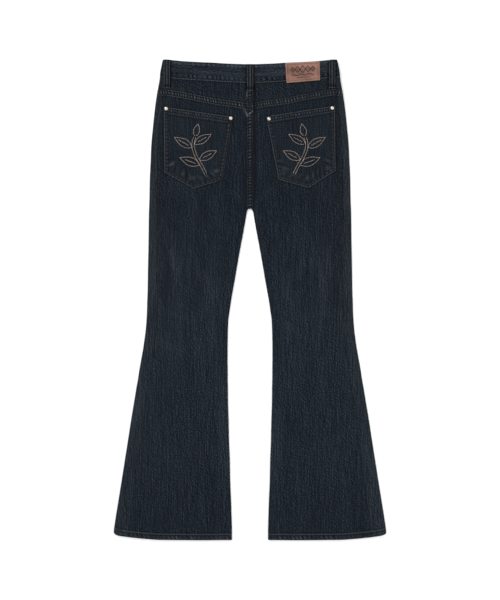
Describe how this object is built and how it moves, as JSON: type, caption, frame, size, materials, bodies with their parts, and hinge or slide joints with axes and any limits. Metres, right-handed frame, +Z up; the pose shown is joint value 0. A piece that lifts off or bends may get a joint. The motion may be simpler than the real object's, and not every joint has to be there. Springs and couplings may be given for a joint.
{
  "type": "bootcut jeans, laid flat",
  "caption": "Women's bootcut jeans in dark indigo denim, laid flat with the back up: waistband with loops and patch, yoke, patch pockets with rivets, flared legs.",
  "frame": {"origin": "centre of the bounding box in X and Y, on the table plane under the garment", "axes": "+Z up off the table and out of the back of the jeans, +Y along the legs toward the waist, +X to the wearer's right"},
  "size_m": [0.588, 1.0372, 0.0112],
  "materials": {
    "denim": "dark indigo stretch denim, fine twill with vertical slubs, matt",
    "denim_waistband": "the same denim run across, a little worn on the edges, matt",
    "leather_patch": "brownish pink leather, matt, with an embossed plain ornament",
    "rivet_metal": "pale warm silver metal, softly polished dome",
    "zip_tape": "dark woven tape with a metal chain",
    "thread_navy": "dark blue-grey topstitching thread",
    "thread_beige": "pinkish beige embroidery thread"
  },
  "bodies": {
    "root": {"front_left": "denim", "front_right": "denim", "back_left": "denim", "back_right": "denim", "yoke_left": "denim", "yoke_right": "denim", "waistband": "denim_waistband", "pocket_facing_left": "denim", "pocket_facing_right": "denim", "back_pocket_left": "denim", "back_pocket_right": "denim", "belt_loop_back_left": "denim_waistband", "belt_loop_back_centre": "denim_waistband", "belt_loop_back_right": "denim_waistband", "belt_loop_front_left": "denim_waistband", "belt_loop_front_right": "denim_waistband", "patch": "leather_patch", "rivet_left_outer": "rivet_metal", "rivet_left_inner": "rivet_metal", "rivet_right_inner": "rivet_metal", "rivet_right_outer": "rivet_metal", "waist_button": "rivet_metal", "fly_zip": "zip_tape"}
  },
  "joints": []
}
